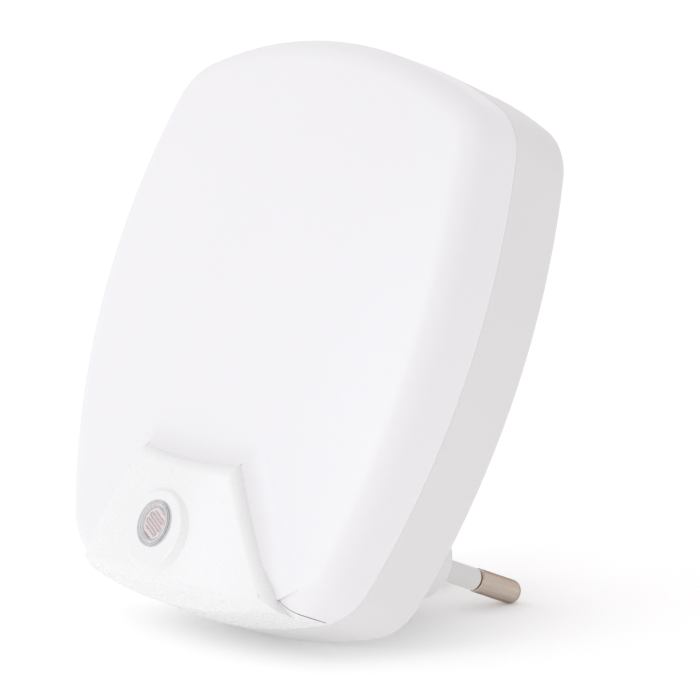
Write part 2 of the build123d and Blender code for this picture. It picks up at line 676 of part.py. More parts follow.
with BuildPart() as board_screws:
    for screw_x, screw_height in screw_places:
        with BuildSketch(turning_plane(screw_x, screw_height)):
            with BuildLine():
                Polyline(
                    (0, BOARD_FRONT_Y - SCREW_HEAD_HEIGHT),
                    (0, BOARD_BACK_Y + SCREW_GRIP),
                    (SCREW_RADIUS, BOARD_BACK_Y + SCREW_GRIP - SCREW_RADIUS),
                    (SCREW_RADIUS, BOARD_FRONT_Y),
                    (SCREW_HEAD_RADIUS, BOARD_FRONT_Y),
                    (SCREW_HEAD_RADIUS, BOARD_FRONT_Y - SCREW_HEAD_HEIGHT / 2),
                    (SCREW_HEAD_RADIUS - SCREW_HEAD_HEIGHT / 2, BOARD_FRONT_Y - SCREW_HEAD_HEIGHT),
                    close=True,
                )
            make_face()
        revolve(axis=turning_axis(screw_x, screw_height))
    with BuildSketch(front_plane(BOARD_FRONT_Y - SCREW_HEAD_HEIGHT + SCREW_SLOT_DEPTH)):
        with Locations(*screw_places):
            Rectangle(2 * SCREW_RADIUS, SCREW_SLOT_WIDTH)
            Rectangle(SCREW_SLOT_WIDTH, 2 * SCREW_RADIUS)
    extrude(amount=SCREW_HEAD_HEIGHT, mode=Mode.SUBTRACT)
board_screws.part.label = "board_screws"
export_step(board_screws.part, "parts/board_screws.step")


# ---- Light-emitting diodes on the board's front ------------------------------------------------

led_base_y = BOARD_FRONT_Y - LED_STAND

for number, (led_x, led_height) in enumerate(led_places, start=1):
    with BuildPart() as led:
        with BuildSketch(turning_plane(led_x, led_height)):
            with BuildLine():
                Polyline(
                    (0, led_base_y - LED_HEIGHT),
                    (0, led_base_y),
                    (LED_FLANGE_RADIUS, led_base_y),
                    (LED_FLANGE_RADIUS, led_base_y - LED_FLANGE_THICKNESS),
                    (LED_RADIUS, led_base_y - LED_FLANGE_THICKNESS),
                    (LED_RADIUS, led_base_y - LED_HEIGHT + LED_SHOULDER),
                    (LED_RADIUS - LED_SHOULDER, led_base_y - LED_HEIGHT),
                    close=True,
                )
            make_face()
        revolve(axis=turning_axis(led_x, led_height))
    led.part.label = f"led_{number}"
    export_step(led.part, f"parts/led_{number}.step")

with BuildPart() as led_leads:
    with BuildSketch(back_plane(led_base_y)):
        with Locations(*led_lead_places):
            Rectangle(LEAD_WIDTH, LEAD_WIDTH)
    extrude(amount=BOARD_BACK_Y + LEAD_STUB - led_base_y)
led_leads.part.label = "led_leads"
export_step(led_leads.part, "parts/led_leads.step")


# ---- Power parts behind the board --------------------------------------------------------------

part_base_y = BOARD_BACK_Y + PART_STAND

with BuildPart() as film_capacitor:
    with BuildSketch(back_plane(part_base_y)):
        with Locations((-FILM_PLACE[0], FILM_PLACE[1])):
            Rectangle(FILM_SIZE[0], FILM_SIZE[1])
    extrude(amount=FILM_SIZE[2])
    fillet(film_capacitor.faces().sort_by(Axis.Y)[-1].edges(), radius=FILM_EDGE_RADIUS)
film_capacitor.part.label = "film_capacitor"
export_step(film_capacitor.part, "parts/film_capacitor.step")

with BuildPart() as bridge_rectifier:
    with BuildSketch(back_plane(part_base_y)):
        with Locations((-BRIDGE_PLACE[0], BRIDGE_PLACE[1])):
            Rectangle(BRIDGE_SIZE[0], BRIDGE_SIZE[1])
    extrude(amount=BRIDGE_SIZE[2])
    with BuildSketch(back_plane(part_base_y + BRIDGE_SIZE[2] / 2)):
        with Locations((-BRIDGE_PLACE[0] - BRIDGE_SIZE[0] / 2, BRIDGE_PLACE[1])):
            Circle(BRIDGE_NOTCH_RADIUS)
    extrude(amount=BRIDGE_SIZE[2], mode=Mode.SUBTRACT)
bridge_rectifier.part.label = "bridge_rectifier"
export_step(bridge_rectifier.part, "parts/bridge_rectifier.step")

with BuildPart() as smoothing_capacitor:
    groove_y = part_base_y + SMOOTHING_RADIUS / 2
    with BuildSketch(turning_plane(*SMOOTHING_PLACE)):
        with BuildLine():
            Polyline(
                (0, part_base_y),
                (SMOOTHING_RADIUS, part_base_y),
                (SMOOTHING_RADIUS, groove_y - SMOOTHING_GROOVE),
                (SMOOTHING_RADIUS - SMOOTHING_GROOVE, groove_y),
                (SMOOTHING_RADIUS, groove_y + SMOOTHING_GROOVE),
                (SMOOTHING_RADIUS, part_base_y + SMOOTHING_HEIGHT - SMOOTHING_GROOVE),
                (SMOOTHING_RADIUS - SMOOTHING_GROOVE, part_base_y + SMOOTHING_HEIGHT),
                (0, part_base_y + SMOOTHING_HEIGHT),
                close=True,
            )
        make_face()
    revolve(axis=turning_axis(*SMOOTHING_PLACE))
smoothing_capacitor.part.label = "smoothing_capacitor"
export_step(smoothing_capacitor.part, "parts/smoothing_capacitor.step")


# ---- Resistors, zener diode and transistor behind the board -------------------------------------

resistor_y = part_base_y + RESISTOR_RADIUS

for name, place in resistor_places.items():
    with BuildPart() as resistor:
        with BuildSketch(Plane((place[0], resistor_y, place[1]))) as half_body:
            half_length = RESISTOR_LENGTH / 2
            with BuildLine():
                Polyline(
                    (-half_length, 0),
                    (-half_length, RESISTOR_RADIUS),
                    (-half_length + RESISTOR_CAP, RESISTOR_RADIUS),
                    (-half_length + RESISTOR_CAP, RESISTOR_WAIST),
                    (half_length - RESISTOR_CAP, RESISTOR_WAIST),
                    (half_length - RESISTOR_CAP, RESISTOR_RADIUS),
                    (half_length, RESISTOR_RADIUS),
                    (half_length, 0),
                    close=True,
                )
            make_face()
        revolve(axis=Axis((place[0], resistor_y, place[1]), (1, 0, 0)))
    resistor.part.label = name
    export_step(resistor.part, f"parts/{name}.step")

with BuildPart() as zener_diode:
    with Locations(Location((ZENER_PLACE[0], resistor_y, ZENER_PLACE[1]), (0, 90, 0))):
        Cylinder(ZENER_RADIUS, ZENER_LENGTH)
zener_diode.part.label = "zener_diode"
export_step(zener_diode.part, "parts/zener_diode.step")

transistor_y = BOARD_BACK_Y + TRANSISTOR_STAND

with BuildPart() as switching_transistor:
    with BuildSketch(back_plane(transistor_y)):
        with Locations((-TRANSISTOR_PLACE[0], TRANSISTOR_PLACE[1])):
            Circle(TRANSISTOR_RADIUS)
        with Locations((-TRANSISTOR_PLACE[0], TRANSISTOR_PLACE[1] - TRANSISTOR_FLAT - TRANSISTOR_RADIUS)):
            Rectangle(2 * TRANSISTOR_RADIUS, 2 * TRANSISTOR_RADIUS, mode=Mode.SUBTRACT)
    extrude(amount=TRANSISTOR_HEIGHT)
switching_transistor.part.label = "switching_transistor"
export_step(switching_transistor.part, "parts/switching_transistor.step")


# ---- Tinned leads of the parts behind the board ---------------------------------------------------

lead_end_y = BOARD_FRONT_Y - LEAD_STUB


def bent_lead(place, side, length, pitch):
    """A lead that leaves an axial part's end, turns forward and passes through the board."""
    start_x = place[0] + side * length / 2
    hole_x = place[0] + side * pitch / 2
    with BuildPart() as lead:
        with BuildLine() as route:
            FilletPolyline(
                (start_x, resistor_y, place[1]),
                (hole_x, resistor_y, place[1]),
                (hole_x, lead_end_y, place[1]),
                radius=LEAD_BEND,
            )
        with BuildSketch(Plane(origin=route.line @ 0, z_dir=route.line % 0)):
            Rectangle(LEAD_WIDTH, LEAD_WIDTH)
        sweep()
    return lead.part


with BuildPart() as component_leads:
    with BuildSketch(front_plane(part_base_y)):
        with Locations(*upright_lead_places):
            Rectangle(LEAD_WIDTH, LEAD_WIDTH)
    extrude(amount=part_base_y - lead_end_y)
    with BuildSketch(front_plane(transistor_y)):
        with Locations(*transistor_lead_places):
            Rectangle(LEAD_WIDTH, LEAD_WIDTH)
    extrude(amount=transistor_y - lead_end_y)
    # The rectifier's four legs leave its long sides and turn forward.
    bridge_leg_y = part_base_y + BRIDGE_SIZE[2] / 2
    with BuildSketch(front_plane(bridge_leg_y)):
        with Locations(*bridge_lead_places):
            Rectangle(LEAD_WIDTH, LEAD_WIDTH)
    extrude(amount=bridge_leg_y - lead_end_y)
    with BuildSketch(back_plane(bridge_leg_y)):
        for side in (-1, 1):
            for row in (-1, 1):
                leg_reach = (BRIDGE_ROWS - BRIDGE_SIZE[1] + LEAD_WIDTH) / 2
                leg_height = BRIDGE_PLACE[1] + row * (BRIDGE_SIZE[1] + leg_reach) / 2
                with Locations((-BRIDGE_PLACE[0] + side * BRIDGE_PITCH / 2, leg_height)):
                    Rectangle(2 * LEAD_WIDTH, leg_reach)
    extrude(amount=LEAD_WIDTH)
    for place, length, pitch in axial_places:
        for side in (-1, 1):
            add(bent_lead(place, side, length, pitch))
component_leads.part.label = "component_leads"
export_step(component_leads.part, "parts/component_leads.step")


# ---- Wires from the pins to the board ---------------------------------------------------------------

with BuildPart() as wire_ends:
    with BuildSketch(front_plane(tail_end + SOLDER_CUP_DEPTH)):
        with GridLocations(PIN_SPACING, 1, 2, 1):
            Circle(WIRE_CORE_RADIUS)
    extrude(amount=SOLDER_CUP_DEPTH + WIRE_STRIPPED)
    with BuildSketch(front_plane(BOARD_BACK_Y + WIRE_STRIPPED)):
        with Locations(*wire_places):
            Circle(WIRE_CORE_RADIUS)
    extrude(amount=BOARD_BACK_Y + WIRE_STRIPPED - lead_end_y)
wire_ends.part.label = "wire_ends"
export_step(wire_ends.part, "parts/wire_ends.step")

for side, name in ((-1, "neutral_wire"), (1, "live_wire")):
    with BuildPart() as wire:
        with BuildLine() as route:
            FilletPolyline(
                (side * PIN_SPACING / 2, tail_end - WIRE_STRIPPED, 0),
                (side * PIN_SPACING / 2, WIRE_CROSSING_Y + WIRE_BEND, 0),
                (side * WIRE_BOARD_X, WIRE_CROSSING_Y, WIRE_BOARD_HEIGHT),
                (side * WIRE_BOARD_X, BOARD_BACK_Y + WIRE_STRIPPED, WIRE_BOARD_HEIGHT),
                radius=WIRE_BEND,
            )
        with BuildSketch(Plane(origin=route.line @ 0, z_dir=route.line % 0)):
            Circle(WIRE_RADIUS)
        sweep()
    wire.part.label = name
    export_step(wire.part, f"parts/{name}.step")
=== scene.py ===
from math import atan2, cos, pi, radians, sin, sqrt

import bmesh
import bpy
from mathutils import Matrix, Vector
from mathutils.geometry import convex_hull_2d


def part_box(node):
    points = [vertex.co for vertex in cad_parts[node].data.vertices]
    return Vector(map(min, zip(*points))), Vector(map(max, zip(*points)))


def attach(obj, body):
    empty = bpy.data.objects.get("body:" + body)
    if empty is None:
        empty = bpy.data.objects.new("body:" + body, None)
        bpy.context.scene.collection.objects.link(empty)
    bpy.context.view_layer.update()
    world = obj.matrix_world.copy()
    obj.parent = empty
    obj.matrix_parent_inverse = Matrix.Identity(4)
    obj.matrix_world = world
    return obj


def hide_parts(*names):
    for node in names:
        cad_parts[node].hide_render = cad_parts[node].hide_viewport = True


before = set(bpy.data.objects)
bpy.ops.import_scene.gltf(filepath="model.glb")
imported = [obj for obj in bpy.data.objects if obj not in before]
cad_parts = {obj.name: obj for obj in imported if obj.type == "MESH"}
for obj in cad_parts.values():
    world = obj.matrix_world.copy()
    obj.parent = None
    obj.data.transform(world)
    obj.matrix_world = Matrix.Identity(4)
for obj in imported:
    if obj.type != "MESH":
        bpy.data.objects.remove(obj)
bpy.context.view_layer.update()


# ---- The floor that the light lies on ------------------------------------------------------------
# A seamless sheet of matt white paper. The light isn't plugged in: it lies on its case's bottom
# edge and its two pin tips, so it leans back, and the floor's plane is tilted about it.

MM = 0.001
LEAN = radians(22.0)
FLOOR_SIZE = 6.0
PAPER_WHITE = "#F4F4F4"
PAPER_ROUGHNESS = 0.95

row_to_table = Matrix.Rotation(-LEAN, 4, "X")
table_to_row = row_to_table.inverted()
lowest = min(
    (row_to_table @ vertex.co).z
    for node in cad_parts.values()
    for vertex in node.data.vertices
)


def linear(hex_colour):
    """The linear colour, with alpha 1, that an sRGB hex value stands for."""
    channels = [int(hex_colour[i:i + 2], 16) / 255 for i in (1, 3, 5)]
    return [c / 12.92 if c <= 0.04045 else ((c + 0.055) / 1.055) ** 2.4 for c in channels] + [1.0]


WHITE = linear("#FFFFFF")


def add_node(tree, kind, settings=None, links=None):
    """Adds a node: settings are its properties and socket values, links its inputs' sources."""
    node = tree.nodes.new(kind)
    for name, value in (settings or {}).items():
        if isinstance(name, int) or name in node.inputs.keys():
            node.inputs[name].default_value = value
        else:
            setattr(node, name, value)
    for name, source in (links or {}).items():
        tree.links.new(source, node.inputs[name])
    return node


def new_material(name):
    """An empty material and its node tree, ready for a shader and an output."""
    material = bpy.data.materials.new(name)
    material.use_nodes = True
    material.node_tree.nodes.clear()
    return material, material.node_tree


# Matt paper scatters evenly, and a light panel under it glows through, which fills the object's
# underside. The camera sees it a little whiter, and darker by how far the object closes it off
# towards the front, which stands in for the lamps' own shadow. Seen from under its plane it isn't
# there, so low views still show the object.
PAPER_GLOW = 0.21
SEEN_GAIN = 1.06
SHADOW_GAIN = 1.33
SHADOW_POWER = 0.6
SHADOW_REACH = 0.25
SHADOW_RISE = radians(20.0)
SHADOW_SAMPLES = 16
paper, tree = new_material("backlit_white_paper")
paper_shader = add_node(
    tree, "ShaderNodeBsdfPrincipled",
    {
        "Base Color": linear(PAPER_WHITE), "Roughness": PAPER_ROUGHNESS,
        "Emission Color": WHITE, "Emission Strength": PAPER_GLOW,
    },
)
towards_light = table_to_row.to_3x3() @ Vector((0, -cos(SHADOW_RISE), sin(SHADOW_RISE)))
light_side = add_node(
    tree, "ShaderNodeCombineXYZ", {"X": towards_light.x, "Y": towards_light.y, "Z": towards_light.z}
)
openness = add_node(
    tree, "ShaderNodeAmbientOcclusion", {"samples": SHADOW_SAMPLES, "Distance": SHADOW_REACH},
    {"Normal": light_side.outputs[0]},
)
softened = add_node(
    tree, "ShaderNodeMath", {"operation": "POWER", 1: SHADOW_POWER}, {0: openness.outputs["AO"]}
)
raised = add_node(
    tree, "ShaderNodeMath", {"operation": "MULTIPLY", 1: SHADOW_GAIN}, {0: softened.outputs[0]}
)
gain = add_node(
    tree, "ShaderNodeMath", {"operation": "MINIMUM", 1: SEEN_GAIN}, {0: raised.outputs[0]}
)
seen_colour = add_node(
    tree, "ShaderNodeVectorMath", {"operation": "SCALE", 0: linear(PAPER_WHITE)[:3]},
    {"Scale": gain.outputs[0]},
)
seen_glow = add_node(
    tree, "ShaderNodeMath", {"operation": "MULTIPLY", 1: PAPER_GLOW}, {0: gain.outputs[0]}
)
seen_paper = add_node(
    tree, "ShaderNodeBsdfPrincipled", {"Roughness": PAPER_ROUGHNESS, "Emission Color": WHITE},
    {"Base Color": seen_colour.outputs[0], "Emission Strength": seen_glow.outputs[0]},
)
see_through = add_node(tree, "ShaderNodeBsdfTransparent")
side = add_node(tree, "ShaderNodeNewGeometry")
seen_side = add_node(
    tree, "ShaderNodeMixShader", {},
    {0: side.outputs["Backfacing"], 1: seen_paper.outputs[0], 2: see_through.outputs[0]},
)
ray = add_node(tree, "ShaderNodeLightPath")
shown = add_node(
    tree, "ShaderNodeMixShader", {},
    {0: ray.outputs["Is Camera Ray"], 1: paper_shader.outputs[0], 2: seen_side.outputs[0]},
)
add_node(tree, "ShaderNodeOutputMaterial", {}, {"Surface": shown.outputs[0]})

half = FLOOR_SIZE / 2
floor_mesh = bpy.data.meshes.new("paper_floor")
floor_mesh.from_pydata(
    [(-half, -half, lowest), (half, -half, lowest), (half, half, lowest), (-half, half, lowest)],
    [],
    [(0, 1, 2, 3)],
)
floor_mesh.materials.append(paper)
paper_floor = bpy.data.objects.new("paper_floor", floor_mesh)
bpy.context.scene.collection.objects.link(paper_floor)
paper_floor.matrix_world = table_to_row


# ---- Studio light and the camera -----------------------------------------------------------------
# A white tent: even, faintly pink light from all round, with a cooler soft box low in front. The
# tent shows as plain white past the floor and in metal and glass. The camera stands low, to the
# front right.

TENT_WHITE = (1.0, 0.982, 0.99, 1.0)
TENT_STRENGTH = 0.83
world = bpy.data.worlds.new("white_tent")
bpy.context.scene.world = world
world.use_nodes = True
tree = world.node_tree
tree.nodes.clear()
ray = add_node(tree, "ShaderNodeLightPath")
seen = add_node(
    tree, "ShaderNodeMath", {"operation": "MAXIMUM"},
    {0: ray.outputs["Is Camera Ray"], 1: ray.outputs["Is Glossy Ray"]},
)
seen_through = add_node(
    tree, "ShaderNodeMath", {"operation": "MAXIMUM"},
    {0: seen.outputs[0], 1: ray.outputs["Is Transmission Ray"]},
)
strength = add_node(
    tree, "ShaderNodeMapRange", {"To Min": TENT_STRENGTH, "To Max": 1.0},
    {"Value": seen_through.outputs[0]},
)
tent = add_node(
    tree, "ShaderNodeBackground", {"Color": TENT_WHITE}, {"Strength": strength.outputs[0]}
)
add_node(tree, "ShaderNodeOutputWorld", {}, {"Surface": tent.outputs[0]})


def aim(thing, place, target):
    """Stands a lamp or camera at a place on the table, turned to a target there, upright."""
    turn = (Vector(target) - Vector(place)).to_track_quat("-Z", "Y").to_matrix().to_4x4()
    thing.matrix_world = table_to_row @ Matrix.Translation(place) @ turn


def direction(turn, rise):
    """The unit vector from the light towards a place turned to its right and raised."""
    return Vector((sin(turn) * cos(rise), -cos(turn) * cos(rise), sin(rise)))


BOX_DISTANCE = 1.8
BOX_TURN = radians(-15.0)
BOX_RISE = radians(15.0)
BOX_SIZE = 1.3
BOX_POWER = 6.0
BOX_COLOUR = (0.89, 0.945, 1.0)
box_data = bpy.data.lights.new("soft_box", "AREA")
box_data.shape = "SQUARE"
box_data.size = BOX_SIZE
box_data.energy = BOX_POWER
box_data.color = BOX_COLOUR
soft_box = bpy.data.objects.new("soft_box", box_data)
bpy.context.scene.collection.objects.link(soft_box)
aim(soft_box, BOX_DISTANCE * direction(BOX_TURN, BOX_RISE), (0, 0, 0))

CAMERA_DISTANCE = 0.8
CAMERA_TURN = radians(50.277)
CAMERA_RISE = radians(9.675)
AIM_TURN = radians(-0.498)
AIM_RISE = radians(0.536)
FOCAL_LENGTH = 259.2
CAMERA_REACH = 20.0
# The point of the body that the distance and the two angles are measured from.
CAMERA_CENTRE = Vector((0, -33.8, 33.64)) * MM

camera_data = bpy.data.cameras.new("camera")
camera_data.lens = FOCAL_LENGTH
camera_data.clip_end = CAMERA_REACH
camera = bpy.data.objects.new("camera", camera_data)
bpy.context.scene.collection.objects.link(camera)
centre = row_to_table @ CAMERA_CENTRE
stand = centre + CAMERA_DISTANCE * direction(CAMERA_TURN, CAMERA_RISE)
aim(camera, stand, stand - direction(CAMERA_TURN + AIM_TURN, CAMERA_RISE + AIM_RISE))
bpy.context.scene.camera = camera
bpy.context.scene.view_settings.view_transform = "Standard"


# ---- Rear case -----------------------------------------------------------------------------------
# One deep shell with the plug boss and the board's posts. ABS, injection moulded, with a fine
# spark-eroded texture from its mould, so its gloss is broad and soft.

# How far the gloss of a plastic wanders to both sides, and how rough its grain's noise is.
GLOSS_SPREAD = 0.15
GRAIN_ROUGHNESS = 0.6


def wear(material, *names):
    """Gives CAD nodes their material, in every slot."""
    for name in names:
        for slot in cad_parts[name].material_slots:
            slot.material = material


def moulded(name, dark, light, drift, roughness, ior, grain, depth):
    """A moulded plastic: two near colours that drift over it, and a grain of a size and depth."""
    material, tree = new_material(name)
    place = add_node(tree, "ShaderNodeTexCoord")
    cloud = add_node(
        tree, "ShaderNodeTexNoise", {"Scale": 1 / drift, "Detail": 2.0},
        {"Vector": place.outputs["Object"]},
    )
    colour = add_node(
        tree, "ShaderNodeMix", {"data_type": "RGBA", 6: linear(dark), 7: linear(light)},
        {0: cloud.outputs[0]},
    )
    skin = add_node(
        tree, "ShaderNodeTexNoise",
        {"Scale": 1 / grain, "Detail": 2.0, "Roughness": GRAIN_ROUGHNESS},
        {"Vector": place.outputs["Object"]},
    )
    bump = add_node(tree, "ShaderNodeBump", {"Distance": depth}, {"Height": skin.outputs[0]})
    gloss = add_node(
        tree, "ShaderNodeMapRange",
        {"To Min": roughness * (1 - GLOSS_SPREAD), "To Max": roughness * (1 + GLOSS_SPREAD)},
        {"Value": skin.outputs[0]},
    )
    shader = add_node(
        tree, "ShaderNodeBsdfPrincipled", {"IOR": ior},
        {
            "Base Color": colour.outputs[2], "Roughness": gloss.outputs[0],
            "Normal": bump.outputs[0],
        },
    )
    add_node(tree, "ShaderNodeOutputMaterial", {}, {"Surface": shader.outputs[0]})
    return material


# The spark-eroded grain is 0.35 mm across and a few microns deep.
textured_abs = moulded(
    "textured_white_abs", "#E4E3E3", "#E8E7E7", 18 * MM, 0.42, 1.54, 0.35 * MM, 0.004 * MM
)
wear(textured_abs, "rear_case")


# ---- Diffuser ------------------------------------------------------------------------------------
# The crowned front that lights up. Milky polypropylene, injection moulded in a polished mould and
# snapped into the case by its lip.

# Its polished skin has a faint orange peel, 2.5 mm from crest to crest.
milky_polypropylene = moulded(
    "milky_polypropylene", "#F0EFF1", "#F2F1F3", 30 * MM, 0.3, 1.49, 2.5 * MM, 0.006 * MM
)
wear(milky_polypropylene, "diffuser")

SEAM_DEPTH = -34.15 * MM
EDGE_RADIUS = 0.45 * MM
EDGE_INSET = 0.455 * MM
EDGE_STEP = 0.8 * MM
EDGE_SIDES = 16
# How far behind the seam's depth the case's rim still counts.
RIM_REACH = 0.65 * MM
# A faint painted glow stands in for the light that passes through the thin lip.
LIP_PAINTED_GLOW = 0.1


def settle(piece, tree, inputs):
    """Runs a node tree on a piece with its inputs' values and leaves a plain mesh."""
    modifier = piece.modifiers.new("made", "NODES")
    modifier.node_group = tree
    sockets = {item.name: item.identifier for item in tree.interface.items_tree}
    for name, value in inputs.items():
        modifier[sockets[name]] = value
    view = bpy.context.evaluated_depsgraph_get()
    made = bpy.data.meshes.new_from_object(piece.evaluated_get(view))
    piece.modifiers.clear()
    piece.data = made


def new_piece(name, vertices, edges=(), faces=()):
    """A piece at the origin with its place in its mesh."""
    mesh = bpy.data.meshes.new(name)
    mesh.from_pydata(vertices, list(edges), list(faces))
    piece = bpy.data.objects.new(name, mesh)
    bpy.context.scene.collection.objects.link(piece)
    return piece


# The rounded front edge of the lip shows in the seam, all round, and catches the light. Its plastic
# is a lighter copy of the diffuser's that glows faintly: a painted highlight along the seam.
lip_painted_highlight = moulded(
    "milky_polypropylene_lip_painted_highlight", "#F8F8F9", "#FAFAFB", 30 * MM, 0.3, 1.49, 2.5 * MM, 0.006 * MM
)
lip_painted_glow_shader = lip_painted_highlight.node_tree.nodes["Principled BSDF"]
lip_painted_glow_shader.inputs["Emission Color"].default_value = WHITE
lip_painted_glow_shader.inputs["Emission Strength"].default_value = LIP_PAINTED_GLOW

edge_tree = bpy.data.node_groups.new("lip_edge", "GeometryNodeTree")
edge_tree.interface.new_socket("Geometry", in_out="INPUT", socket_type="NodeSocketGeometry")
edge_tree.interface.new_socket("Edge radius", in_out="INPUT", socket_type="NodeSocketFloat")
edge_tree.interface.new_socket("Step", in_out="INPUT", socket_type="NodeSocketFloat")
edge_tree.interface.new_socket("Geometry", in_out="OUTPUT", socket_type="NodeSocketGeometry")
given = add_node(edge_tree, "NodeGroupInput")
path = add_node(edge_tree, "GeometryNodeMeshToCurve", {}, {"Mesh": given.outputs["Geometry"]})
even_path = add_node(
    edge_tree, "GeometryNodeResampleCurve", {"mode": "LENGTH"},
    {"Curve": path.outputs[0], "Length": given.outputs["Step"]},
)
section = add_node(
    edge_tree, "GeometryNodeCurvePrimitiveCircle", {"Resolution": EDGE_SIDES},
    {"Radius": given.outputs["Edge radius"]},
)
edge_mesh = add_node(
    edge_tree, "GeometryNodeCurveToMesh", {},
    {"Curve": even_path.outputs[0], "Profile Curve": section.outputs[0]},
)
edge_real = add_node(
    edge_tree, "GeometryNodeRealizeInstances", {}, {"Geometry": edge_mesh.outputs[0]}
)
edge_finish = add_node(
    edge_tree, "GeometryNodeSetMaterial", {"Material": lip_painted_highlight},
    {"Geometry": edge_real.outputs[0]},
)
add_node(edge_tree, "NodeGroupOutput", {}, {"Geometry": edge_finish.outputs[0]})

# The seam's outline is read from the case's rim, which is convex, and drawn in a little.
rim = [
    Vector((vertex.co.x, vertex.co.z))
    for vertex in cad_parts["rear_case"].data.vertices
    if vertex.co.y < SEAM_DEPTH + RIM_REACH
]
ring = [rim[index] for index in convex_hull_2d(rim)]
edge_path = []
for number, place in enumerate(ring):
    along = ring[(number + 1) % len(ring)] - ring[number - 1]
    inward = Vector((-along.y, along.x)).normalized() * EDGE_INSET
    edge_path.append((place.x + inward.x, SEAM_DEPTH, place.y + inward.y))
seam_edge = new_piece(
    "seam_edge", edge_path, [(i, (i + 1) % len(edge_path)) for i in range(len(edge_path))]
)
settle(seam_edge, edge_tree, {"Edge radius": EDGE_RADIUS, "Step": EDGE_STEP})
seam_edge.data.shade_smooth()
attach(seam_edge, "root")


# ---- Sensor panel --------------------------------------------------------------------------------
# The bulged panel at the foot, which holds the light sensor. Opaque white ABS, glossy, with a
# rounded shoulder that the diffuser rises to meet.

# A polished mould again, with a shallower orange peel than the diffuser's.
glossy_abs = moulded(
    "glossy_white_abs", "#F1F1F1", "#F3F3F3", 22 * MM, 0.28, 1.54, 1.8 * MM, 0.004 * MM
)
wear(glossy_abs, "sensor_panel")

# The panel and the cover round it, as the construction gives them, in millimetres: the arc along
# the panel's top by its centre's height and its radius, the top corner by its place, the side's
# flare, and both barrel-shaped fronts by their crown's depth, their radii across and down and their
# crown's height.
OUTLINE_TOP = (65.1, 61.0)
OUTLINE_CORNER = (11.6, 5.213)
OUTLINE_FLARE = radians(31.5)
FACE_BARREL = (-50.1, 48.0, 150.0, -4.4)
COVER_BARREL = (-47.2, 204.0, 294.0, 33.7)
# Round the panel the diffuser rises to meet it, in a hollow curve. From the first of RISE_FOOT's
# heights it grows smoothly, and at the second it is whole.
RISE_SHARE = 0.6
RISE_WIDTH = 4.6
RISE_FOOT = (-13.5, -8.0)
RISE_ROWS = 10
RISE_STEP = 0.25
RISE_POWER = 2.2
MERGE_DISTANCE = 0.001 * MM
# The rise starts within the panel's shoulder and ends within the diffuser.
RISE_TUCK = 0.25
RISE_LIFT = 0.012
RISE_SINK = 0.03


def barrel_depth(barrel, x, z):
    """How deep a barrel's front lies at a place, from its crown, two radii and crown height."""
    front, across, down, crown = barrel
    radius = across - down + sqrt(down**2 - (z - crown) ** 2)
    return front + across - sqrt(radius**2 - x**2)


def rise_height(x, z):
    """How far the diffuser's hollow rise stands up where it meets the panel."""
    foot, full = RISE_FOOT
    share = min(max((z - foot) / (full - foot), 0), 1)
    stand = barrel_depth(COVER_BARREL, x, z) - barrel_depth(FACE_BARREL, x, z)
    return stand * RISE_SHARE * share * share * (3 - 2 * share)


# The rise runs up one side of the panel to the corner, along the top and down the other side.
corner_x, corner_z = OUTLINE_CORNER
side_length = (corner_z - RISE_FOOT[0]) / cos(OUTLINE_FLARE)
steps = int(side_length / RISE_STEP)
outline = []
for step in range(steps):
    down = side_length * (1 - step / steps)
    outline.append((
        corner_x + down * sin(OUTLINE_FLARE), corner_z - down * cos(OUTLINE_FLARE),
        cos(OUTLINE_FLARE), sin(OUTLINE_FLARE),
    ))
centre, radius = OUTLINE_TOP
corner_turn = atan2(corner_x, centre - corner_z)
# At the corner the strip fans round from the side's direction to the top's.
for step in range(RISE_ROWS + 1):
    turn = OUTLINE_FLARE + (pi / 2 + corner_turn - OUTLINE_FLARE) * step / RISE_ROWS
    outline.append((corner_x, corner_z, cos(turn), sin(turn)))
top_steps = int(corner_x / RISE_STEP)
for step in range(1, top_steps + 1):
    turn = corner_turn * (1 - step / top_steps)
    outline.append((radius * sin(turn), centre - radius * cos(turn), -sin(turn), cos(turn)))
outline += [(-x, z, -out_x, out_z) for x, z, out_x, out_z in reversed(outline[:-1])]
rise_vertices = []
for x, z, out_x, out_z in outline:
    for row in range(RISE_ROWS + 1):
        share = row / RISE_ROWS
        away = RISE_WIDTH * share - RISE_TUCK
        place_x, place_z = x + away * out_x, z + away * out_z
        height = rise_height(x, z) * (1 - share) ** RISE_POWER + RISE_LIFT - RISE_SINK * share
        depth = barrel_depth(COVER_BARREL, place_x, place_z) - height
        rise_vertices.append((place_x * MM, depth * MM, place_z * MM))
columns = RISE_ROWS + 1
rise_faces = [
    (at + row, at + row + 1, at + columns + row + 1, at + columns + row)
    for at in range(0, len(rise_vertices) - columns, columns)
    for row in range(RISE_ROWS)
]
diffuser_rise = new_piece("diffuser_rise", rise_vertices, [], rise_faces)
form = bmesh.new()
form.from_mesh(diffuser_rise.data)
bmesh.ops.remove_doubles(form, verts=form.verts, dist=MERGE_DISTANCE)
bmesh.ops.recalc_face_normals(form, faces=form.faces)
if sum(face.normal.y for face in form.faces) > 0:
    bmesh.ops.reverse_faces(form, faces=form.faces)
form.to_mesh(diffuser_rise.data)
form.free()
diffuser_rise.data.materials.append(milky_polypropylene)
diffuser_rise.data.shade_smooth()
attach(diffuser_rise, "root")


# ---- Sensor window -------------------------------------------------------------------------------
# A clear cap over the light cell. Acrylic, moulded, pushed into the panel's tube from behind. Its
# centre is polished, and fine rings from the turned mould make its rim hazy.

CAP_CENTRE = Vector((0, -51.1, -7.1)) * MM
CAP_STEPS = 128
